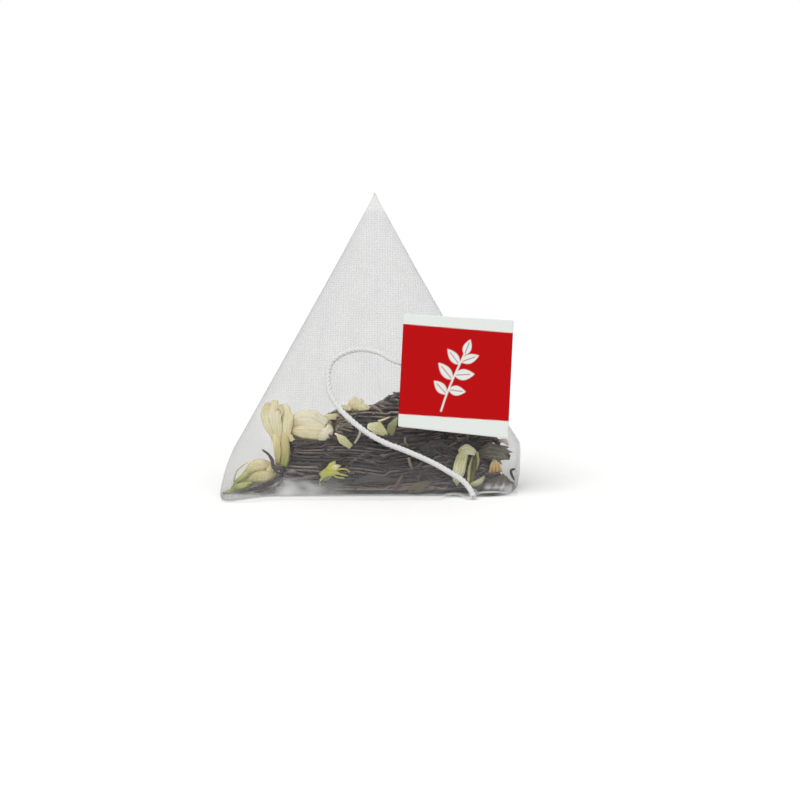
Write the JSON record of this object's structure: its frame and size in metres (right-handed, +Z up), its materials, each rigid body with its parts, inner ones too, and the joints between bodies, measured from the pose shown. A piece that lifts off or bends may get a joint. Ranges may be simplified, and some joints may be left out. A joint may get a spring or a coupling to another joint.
{
  "type": "pyramid tea bag",
  "caption": "Tetrahedral mesh bag with two crossed heat seals, filled with leaf tea and dried flowers, with a square paper tag on a cotton string.",
  "frame": {"origin": "the point of the floor under the bag's apex, on the flat base panel", "axes": "+X along the front seal towards the tag, +Y from the front seal to the back seal's foot, +Z up through the apex"},
  "size_m": [0.0536, 0.0662, 0.0511],
  "materials": {
    "nylon_mesh": "fine translucent white weave",
    "cotton_string": "twisted white cotton",
    "tag_card": "semi-gloss printed card, red between two white bands",
    "black_tea": "dull dried leaf",
    "cream_petal": "dull dried petal",
    "green_petal": "dull dried petal",
    "green_calyx": "dull dried calyx",
    "orange_petal": "dull dried petal",
    "brown_leaf": "dull dried leaf",
    "pale_stalk": "dull dried stalk"
  },
  "bodies": {
    "root": {"mesh_bag": "nylon_mesh", "string": "cotton_string", "tag": "tag_card", "tea_leaf_bed": "black_tea", "jasmine_bud_upright": "cream_petal", "jasmine_bud_lying": "cream_petal", "jasmine_bud_corner": "cream_petal", "jasmine_calyx_corner": "green_calyx", "floret_yellow": "cream_petal", "calyx_green": "green_calyx", "leaf_dark_left": "black_tea", "petal_cream_top": "cream_petal", "petal_sliver": "green_petal", "petal_kite": "green_petal", "petal_olive": "green_petal", "petal_large": "green_petal", "petal_curled_tip": "green_petal", "petal_orange": "orange_petal", "leaf_brown_inner": "brown_leaf", "leaf_brown_front": "brown_leaf", "leaf_serrated": "black_tea", "leaf_olive_right": "brown_leaf", "petal_pink": "orange_petal", "leaf_wide_centre": "black_tea", "leaf_wide_right": "black_tea", "stalk_curled_left": "black_tea", "stalk_pale": "pale_stalk", "stalk_upper": "pale_stalk", "stalk_lower": "pale_stalk", "stalk_red": "brown_leaf", "stalk_curled_right": "black_tea"}
  },
  "joints": []
}
